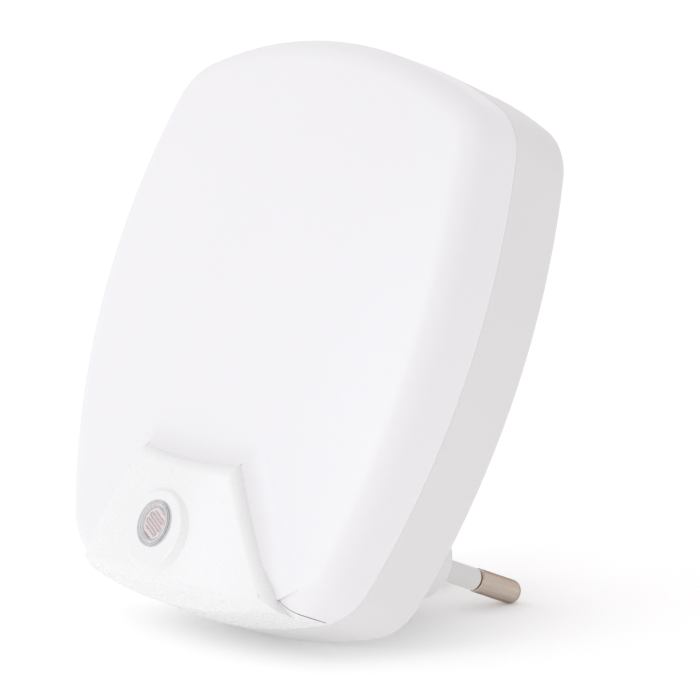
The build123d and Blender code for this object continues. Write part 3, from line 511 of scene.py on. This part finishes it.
# Half the cap's section: radius and depth behind its face, in millimetres. The middle is sunk
# within a bead, with two grooves round it; then come the tube, the flange and the bore.
CAP_SECTION = [
    (2.72, 0.16), (2.86, 0.14), (2.96, 0.05), (3.06, 0.02), (3.16, 0.05), (3.22, 0.16), (3.28, 0.2),
    (3.34, 0.1), (3.42, 0.06), (3.48, 0.13), (3.53, 0.18), (3.58, 0.1), (3.65, 0.06), (3.73, 0.1),
    (3.78, 0.18), (3.8, 0.3), (3.8, 6.5), (4.6, 6.5), (4.6, 7.3), (3.05, 7.3), (3.05, 0.4),
]
CAP_FACE_DEPTH = 0.16
CAP_BORE_DEPTH = 0.4
CAP_SHARP_ANGLE = radians(40.0)
CAP_RADIUS = 3.8 * MM
# How hazy the cap is at shares of its radius: faintly over the cell, fully on the bead.
HAZE = [
    (0.0, 0.1), (0.55, 0.12), (0.66, 0.3), (0.77, 0.55), (0.785, 0.9), (0.795, 1.0), (0.83, 1.0),
    (0.845, 0.7), (0.9, 0.85), (1.0, 0.85),
]
# Three arcs of painted shade, towards +X only, stand in for the dark that the acrylic would bend
# there: on the bead's inner slope, in the first groove and just outside the second.
PAINTED_SHADE_ARCS = [
    (0.725, 0.0), (0.745, 0.7), (0.77, 0.7), (0.785, 0.0), (0.84, 0.0), (0.855, 1.0), (0.885, 1.0),
    (0.9, 0.0), (0.93, 0.0), (0.945, 0.9), (0.975, 0.9), (0.99, 0.0),
]
# Between these distances towards +X the painted shade grows from none to full.
PAINTED_SHADE_SIDE = (0.5 * MM, 3.0 * MM)

cap_vertices = [(0, CAP_FACE_DEPTH, 0)]
cap_faces = []
for step in range(CAP_STEPS):
    turn = 2 * pi * step / CAP_STEPS
    cap_vertices += [(r * cos(turn), depth, r * sin(turn)) for r, depth in CAP_SECTION]
cap_vertices.append((0, CAP_BORE_DEPTH, 0))
rings = len(CAP_SECTION)
for step in range(CAP_STEPS):
    here, there = 1 + step * rings, 1 + (step + 1) % CAP_STEPS * rings
    cap_faces.append((0, here, there))
    cap_faces += [(here + i, here + i + 1, there + i + 1, there + i) for i in range(rings - 1)]
    cap_faces.append((len(cap_vertices) - 1, there + rings - 1, here + rings - 1))
cap_places = [CAP_CENTRE + Vector(vertex) * MM for vertex in cap_vertices]
sensor_cap = new_piece("sensor_cap", cap_places, [], cap_faces)
form = bmesh.new()
form.from_mesh(sensor_cap.data)
bmesh.ops.recalc_face_normals(form, faces=form.faces)
form.to_mesh(sensor_cap.data)
form.free()
sensor_cap.data.set_sharp_from_angle(angle=CAP_SHARP_ANGLE)
sensor_cap.data.shade_smooth()

clear_acrylic, tree = new_material("clear_acrylic")
place = add_node(tree, "ShaderNodeTexCoord")
from_centre = add_node(
    tree, "ShaderNodeVectorMath", {"operation": "SUBTRACT", 1: CAP_CENTRE},
    {0: place.outputs["Object"]},
)
flattened = add_node(
    tree, "ShaderNodeVectorMath", {"operation": "MULTIPLY", 1: (1, 0, 1)},
    {0: from_centre.outputs[0]},
)
radius = add_node(
    tree, "ShaderNodeVectorMath", {"operation": "LENGTH"}, {0: flattened.outputs[0]}
)
across = add_node(
    tree, "ShaderNodeMath", {"operation": "DIVIDE", 1: CAP_RADIUS}, {0: radius.outputs["Value"]}
)


def set_stops(ramp, stops):
    """Gives a colour ramp its stops, each a place from 0 to 1 and a linear colour."""
    elements = ramp.color_ramp.elements
    for number, (where, colour) in enumerate(stops):
        element = elements[number] if number < 2 else elements.new(where)
        element.position = where
        element.color = colour


haze = add_node(tree, "ShaderNodeValToRGB", {}, {0: across.outputs[0]})
painted_shade_arcs = add_node(tree, "ShaderNodeValToRGB", {}, {0: across.outputs[0]})
for ramp, stops in ((haze, HAZE), (painted_shade_arcs, PAINTED_SHADE_ARCS)):
    set_stops(ramp, [(where, (share, share, share, 1)) for where, share in stops])
sideways = add_node(tree, "ShaderNodeSeparateXYZ", {}, {0: flattened.outputs[0]})
painted_shade_side = add_node(
    tree, "ShaderNodeMapRange", {"From Min": PAINTED_SHADE_SIDE[0], "From Max": PAINTED_SHADE_SIDE[1]},
    {"Value": sideways.outputs["X"]},
)
shade = add_node(
    tree, "ShaderNodeMath", {"operation": "MULTIPLY"},
    {0: painted_shade_arcs.outputs[0], 1: painted_shade_side.outputs[0]},
)
# The rim's grey haze, darkened on the arcs by painted shade.
rim_haze_and_painted_shade = add_node(
    tree, "ShaderNodeMix",
    {"data_type": "RGBA", 6: linear("#D8D7D9"), 7: linear("#4E494B")}, {0: shade.outputs[0]},
)
clear_shader = add_node(
    tree, "ShaderNodeBsdfPrincipled",
    {"Base Color": WHITE, "Roughness": 0.03, "IOR": 1.49, "Transmission Weight": 1.0},
)
hazy_shader = add_node(
    tree, "ShaderNodeBsdfPrincipled", {"Roughness": 0.35, "IOR": 1.49},
    {"Base Color": rim_haze_and_painted_shade.outputs[2]},
)
cap_shader = add_node(
    tree, "ShaderNodeMixShader", {},
    {0: haze.outputs[0], 1: clear_shader.outputs[0], 2: hazy_shader.outputs[0]},
)
# Light reaches the cell through the cap.
let_through = add_node(tree, "ShaderNodeBsdfTransparent")
ray = add_node(tree, "ShaderNodeLightPath")
lit = add_node(
    tree, "ShaderNodeMath", {"operation": "MAXIMUM"},
    {0: ray.outputs["Is Shadow Ray"], 1: ray.outputs["Is Diffuse Ray"]},
)
lit_cap = add_node(
    tree, "ShaderNodeMixShader", {},
    {0: lit.outputs[0], 1: cap_shader.outputs[0], 2: let_through.outputs[0]},
)
add_node(tree, "ShaderNodeOutputMaterial", {}, {"Surface": lit_cap.outputs[0]})
sensor_cap.data.materials.append(clear_acrylic)
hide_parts("sensor_window")
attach(sensor_cap, "root")


# ---- Light cell ----------------------------------------------------------------------------------
# A cadmium sulphide cell: a sintered ceramic disc, coated pinkish, with a dull mauve wavy track
# printed on it. Its leads run to the board in a black heat-shrink tube.

# The ceramic's grains are about 0.05 mm, drawn at 0.12 mm so that they show.
sintered_ceramic = moulded(
    "sintered_ceramic", "#DCCBC8", "#EADDDA", 0.12 * MM, 0.6, 1.5, 0.12 * MM, 0.004 * MM
)
sulphide_track = moulded(
    "sulphide_track", "#A58D90", "#BFABAE", 0.2 * MM, 0.55, 1.5, 0.1 * MM, 0.004 * MM
)
heat_shrink = moulded(
    "black_heat_shrink", "#161616", "#1E1E1E", 2 * MM, 0.5, 1.5, 0.3 * MM, 0.006 * MM
)
wear(sintered_ceramic, "ldr_cell")
wear(sulphide_track, "ldr_track")
wear(heat_shrink, "ldr_shroud")


# ---- Plug pins and sleeves -----------------------------------------------------------------------
# Turned from brass and nickel plated, pressed into the boss. Nylon sleeves, moulded round their
# roots, insulate all but the tips.

METAL_GLOSS_SPREAD = 0.2


def worked_metal(name, dark, light, marks, roughness, depth, edge_tint):
    """A metal whose colour and gloss follow its working marks, sized along X, Y and Z."""
    material, tree = new_material(name)
    place = add_node(tree, "ShaderNodeTexCoord")
    stretched = add_node(
        tree, "ShaderNodeMapping", {"Scale": [1 / mark for mark in marks]},
        {"Vector": place.outputs["Object"]},
    )
    streaks = add_node(
        tree, "ShaderNodeTexNoise", {"Scale": 1.0, "Detail": 3.0}, {"Vector": stretched.outputs[0]}
    )
    colour = add_node(
        tree, "ShaderNodeMix", {"data_type": "RGBA", 6: linear(dark), 7: linear(light)},
        {0: streaks.outputs[0]},
    )
    gloss = add_node(
        tree, "ShaderNodeMapRange",
        {
            "To Min": roughness * (1 - METAL_GLOSS_SPREAD),
            "To Max": roughness * (1 + METAL_GLOSS_SPREAD),
        },
        {"Value": streaks.outputs[0]},
    )
    bump = add_node(tree, "ShaderNodeBump", {"Distance": depth}, {"Height": streaks.outputs[0]})
    shader = add_node(
        tree, "ShaderNodeBsdfPrincipled",
        {"Metallic": 1.0, "Specular Tint": linear(edge_tint)},
        {
            "Base Color": colour.outputs[2], "Roughness": gloss.outputs[0],
            "Normal": bump.outputs[0],
        },
    )
    add_node(tree, "ShaderNodeOutputMaterial", {}, {"Surface": shader.outputs[0]})
    return material


# Nickel over brass, a little worn, so the yellow of the brass warms it. It is rubbed lengthwise
# by sockets, in streaks about 0.5 mm wide.
worn_nickel = worked_metal(
    "nickel_plated_brass", "#AC9B8C", "#D6CBC2", (0.5 * MM, 12 * MM, 0.5 * MM), 0.24,
    0.002 * MM, "#B5A698",
)
sleeve_nylon = moulded(
    "grey_white_nylon", "#DAD9D8", "#DFDEDD", 4 * MM, 0.5, 1.53, 0.3 * MM, 0.004 * MM
)
wear(worn_nickel, "pin_left", "pin_right")
wear(sleeve_nylon, "sleeve_left", "sleeve_right")


# ---- Circuit board, screws and solder ------------------------------------------------------------
# Pressed from resin-soaked paper, cut by a die. Two zinc-plated screws hold it to the posts, and
# each lead is soldered where it comes through.

# Paper fibres, about 2 mm long, 0.15 mm wide and 0.3 mm deep, lie mostly across the board.
FIBRE = (2 * MM, 0.3 * MM, 0.15 * MM)
paper_laminate, tree = new_material("tan_paper_laminate")
place = add_node(tree, "ShaderNodeTexCoord")
fibre_lie = add_node(
    tree, "ShaderNodeMapping", {"Scale": [1 / size for size in FIBRE]},
    {"Vector": place.outputs["Object"]},
)
fibres = add_node(
    tree, "ShaderNodeTexNoise", {"Scale": 1.0, "Detail": 4.0, "Distortion": 0.6},
    {"Vector": fibre_lie.outputs[0]},
)
tan_colour = add_node(
    tree, "ShaderNodeMix", {"data_type": "RGBA", 6: linear("#B08B4A"), 7: linear("#C9A868")},
    {0: fibres.outputs[0]},
)
board_shader = add_node(
    tree, "ShaderNodeBsdfPrincipled", {"Roughness": 0.45, "IOR": 1.53},
    {"Base Color": tan_colour.outputs[2]},
)
add_node(tree, "ShaderNodeOutputMaterial", {}, {"Surface": board_shader.outputs[0]})
wear(paper_laminate, "circuit_board")

# Zinc plating is bluish, in spangles about 0.6 mm across. Dipped tin is smoother and whiter.
zinc_plate = worked_metal(
    "zinc_plated_steel", "#A9ADB2", "#C6CACE", (0.6 * MM, 0.6 * MM, 0.6 * MM), 0.35,
    0.002 * MM, "#B0B4B8",
)
tinned = worked_metal(
    "tinned_copper", "#BDBDBB", "#D6D6D4", (0.4 * MM, 1.5 * MM, 0.4 * MM), 0.3, 0.003 * MM,
    "#C0C0BE",
)
wear(zinc_plate, "board_screws")
wear(tinned, "component_leads", "led_leads", "ldr_leads", "wire_ends")

SOLDER_FOOT = 0.85 * MM
SOLDER_TIP = 0.32 * MM
SOLDER_HEIGHT = 0.95 * MM
SOLDER_WAIST = 0.72
SOLDER_SIDES = 16
SOLDER_ROWS = 4
SOLDER_SIZES = (0.88, 1.08)
SOLDER_SEED = 7
# Points of a lead that lie nearer than this are one end, and an end's points lie this deep.
LEAD_SPREAD = 0.9 * MM
LEAD_END = 0.01 * MM
joint_tree = bpy.data.node_groups.new("solder_joint", "GeometryNodeTree")
joint_tree.interface.new_socket("Geometry", in_out="INPUT", socket_type="NodeSocketGeometry")
for size in ("Foot radius", "Tip radius", "Height", "Turn"):
    joint_tree.interface.new_socket(size, in_out="INPUT", socket_type="NodeSocketFloat")
joint_tree.interface.new_socket("Geometry", in_out="OUTPUT", socket_type="NodeSocketGeometry")
given = add_node(joint_tree, "NodeGroupInput")
cone = add_node(
    joint_tree, "GeometryNodeMeshCone", {"Vertices": SOLDER_SIDES, "Side Segments": SOLDER_ROWS},
    {
        "Radius Bottom": given.outputs["Foot radius"], "Radius Top": given.outputs["Tip radius"],
        "Depth": given.outputs["Height"],
    },
)
# Solder wets the lead and the pad, so its side is hollow: the middle is drawn in.
position = add_node(joint_tree, "GeometryNodeInputPosition")
parts = add_node(joint_tree, "ShaderNodeSeparateXYZ", {}, {0: position.outputs[0]})
level = add_node(
    joint_tree, "ShaderNodeMath", {"operation": "DIVIDE"},
    {0: parts.outputs["Z"], 1: given.outputs["Height"]},
)
from_ends = add_node(
    joint_tree, "ShaderNodeMath", {"operation": "MULTIPLY", 1: pi}, {0: level.outputs[0]}
)
bulge = add_node(joint_tree, "ShaderNodeMath", {"operation": "SINE"}, {0: from_ends.outputs[0]})
drawn_in = add_node(
    joint_tree, "ShaderNodeMapRange", {"To Min": 1.0, "To Max": SOLDER_WAIST},
    {"Value": bulge.outputs[0]},
)
inwards = add_node(
    joint_tree, "ShaderNodeCombineXYZ", {"Z": 1.0},
    {"X": drawn_in.outputs[0], "Y": drawn_in.outputs[0]},
)
hollow = add_node(
    joint_tree, "ShaderNodeVectorMath", {"operation": "MULTIPLY"},
    {0: position.outputs[0], 1: inwards.outputs[0]},
)
joint_mesh = add_node(
    joint_tree, "GeometryNodeSetPosition", {},
    {"Geometry": cone.outputs["Mesh"], "Position": hollow.outputs[0]},
)
tilt = add_node(joint_tree, "ShaderNodeCombineXYZ", {}, {"X": given.outputs["Turn"]})
# Sockets 2 and 3 are the least and the greatest number, and the random number comes out of 1.
amount = add_node(
    joint_tree, "FunctionNodeRandomValue",
    {2: SOLDER_SIZES[0], 3: SOLDER_SIZES[1], "Seed": SOLDER_SEED},
)
joints = add_node(
    joint_tree, "GeometryNodeInstanceOnPoints", {},
    {
        "Points": given.outputs["Geometry"], "Instance": joint_mesh.outputs[0],
        "Rotation": tilt.outputs[0], "Scale": amount.outputs[1],
    },
)
real = add_node(joint_tree, "GeometryNodeRealizeInstances", {}, {"Geometry": joints.outputs[0]})
finish = add_node(
    joint_tree, "GeometryNodeSetMaterial", {"Material": tinned}, {"Geometry": real.outputs[0]}
)
add_node(joint_tree, "NodeGroupOutput", {}, {"Geometry": finish.outputs[0]})


def lead_ends(names, side):
    """Where leads end in front of the board, side -1, or behind it, side 1."""
    ends = []
    for name in names:
        corners = [vertex.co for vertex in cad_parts[name].data.vertices]
        last = max(side * corner.y for corner in corners)
        for corner in corners:
            if side * corner.y > last - LEAD_END:
                for end in ends:
                    if (corner - end[0]).length < LEAD_SPREAD:
                        end.append(corner)
                        break
                else:
                    ends.append([corner])
    places = []
    for end in ends:
        low = Vector(min(corner[axis] for corner in end) for axis in range(3))
        high = Vector(max(corner[axis] for corner in end) for axis in range(3))
        places.append((low + high) / 2)
    return places


board_low, board_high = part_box("circuit_board")
for name, names, side in (
    ("solder_joints_front", ("component_leads", "wire_ends"), -1),
    ("solder_joints_back", ("led_leads", "ldr_leads"), 1),
):
    level_y = board_low.y if side < 0 else board_high.y
    solder = new_piece(name, [(end.x, level_y, end.z) for end in lead_ends(names, side)])
    settle(
        solder, joint_tree,
        {
            "Foot radius": SOLDER_FOOT, "Tip radius": SOLDER_TIP, "Height": SOLDER_HEIGHT,
            "Turn": -side * pi / 2,
        },
    )
    solder.data.shade_smooth()
    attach(solder, "root")


# ---- Parts on the board --------------------------------------------------------------------------
# White light-emitting diodes in front; behind, the mains dropper, rectifier, smoothing capacitor,
# resistors, zener diode and transistor. Each is cast, dipped, sleeved or sealed in glass.

phosphor_epoxy = moulded(
    "epoxy_over_phosphor", "#E3D48A", "#EFE7B4", 1.5 * MM, 0.12, 1.54, 0.4 * MM, 0.001 * MM
)
dropper_box = moulded(
    "red_brown_polyester", "#9C2A1B", "#A8301F", 5 * MM, 0.4, 1.55, 0.25 * MM, 0.004 * MM
)
black_epoxy = moulded(
    "black_epoxy", "#151515", "#1D1D1D", 3 * MM, 0.55, 1.55, 0.15 * MM, 0.006 * MM
)
brown_pvc = moulded("brown_pvc", "#4A2A18", "#54301C", 6 * MM, 0.45, 1.53, 0.4 * MM, 0.003 * MM)
blue_pvc = moulded("blue_pvc", "#24439A", "#2A4BA6", 6 * MM, 0.45, 1.53, 0.4 * MM, 0.003 * MM)
wear(phosphor_epoxy, "led_1", "led_2", "led_3", "led_4")
wear(dropper_box, "film_capacitor")
wear(black_epoxy, "bridge_rectifier", "switching_transistor")
wear(brown_pvc, "live_wire")
wear(blue_pvc, "neutral_wire")


LACQUER_GRAIN = 0.8 * MM
LACQUER_DEPTH = 0.01 * MM


def banded(name, node, axis, body, bands, roughness):
    """A dipped body with bands round it, each its start and width, 0 to 1, and its colour."""
    material, tree = new_material(name)
    low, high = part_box(node)
    place = add_node(tree, "ShaderNodeTexCoord")
    parts = add_node(tree, "ShaderNodeSeparateXYZ", {}, {0: place.outputs["Object"]})
    lane = "XYZ".index(axis)
    along = add_node(
        tree, "ShaderNodeMapRange", {"From Min": low[lane], "From Max": high[lane]},
        {"Value": parts.outputs[axis]},
    )
    ramp = add_node(tree, "ShaderNodeValToRGB", {}, {0: along.outputs[0]})
    ramp.color_ramp.interpolation = "CONSTANT"
    stops = [(0.0, body)]
    for start, width, colour in bands:
        stops += [(start, colour), (start + width, body)]
    set_stops(ramp, [(where, linear(colour)) for where, colour in stops])
    lacquer = add_node(
        tree, "ShaderNodeTexNoise", {"Scale": 1 / LACQUER_GRAIN, "Detail": 2.0},
        {"Vector": place.outputs["Object"]},
    )
    bump = add_node(
        tree, "ShaderNodeBump", {"Distance": LACQUER_DEPTH}, {"Height": lacquer.outputs[0]}
    )
    shader = add_node(
        tree, "ShaderNodeBsdfPrincipled", {"Roughness": roughness, "IOR": 1.5},
        {"Base Color": ramp.outputs[0], "Normal": bump.outputs[0]},
    )
    add_node(tree, "ShaderNodeOutputMaterial", {}, {"Surface": shader.outputs[0]})
    wear(material, node)


# Resistors are dipped in beige lacquer and banded by value: two digits, a multiplier, and gold.
LACQUER, BROWN, BLACK, ORANGE, GREEN, GOLD = (
    "#D8C49A", "#5A3018", "#141414", "#D06A20", "#2F7A3A", "#B08A3C"
)
for node, multiplier in (
    ("surge_resistor", BROWN), ("bleed_resistor", GREEN), ("bias_resistor", ORANGE)
):
    bands = [(0.12, 0.08, BROWN), (0.3, 0.08, BLACK), (0.45, 0.08, multiplier), (0.8, 0.08, GOLD)]
    banded(f"{node}_lacquer", node, "X", LACQUER, bands, 0.4)
# The diode's orange glass has a black band at its cathode.
banded("orange_glass", "zener_diode", "X", "#B5571F", [(0.14, 0.16, "#111111")], 0.1)
# The capacitor's aluminium can shows at its top, past the end of a black sleeve.
banded("sleeved_can", "smoothing_capacitor", "Y", "#15161C", [(0.96, 0.04, "#C9CCCE")], 0.35)
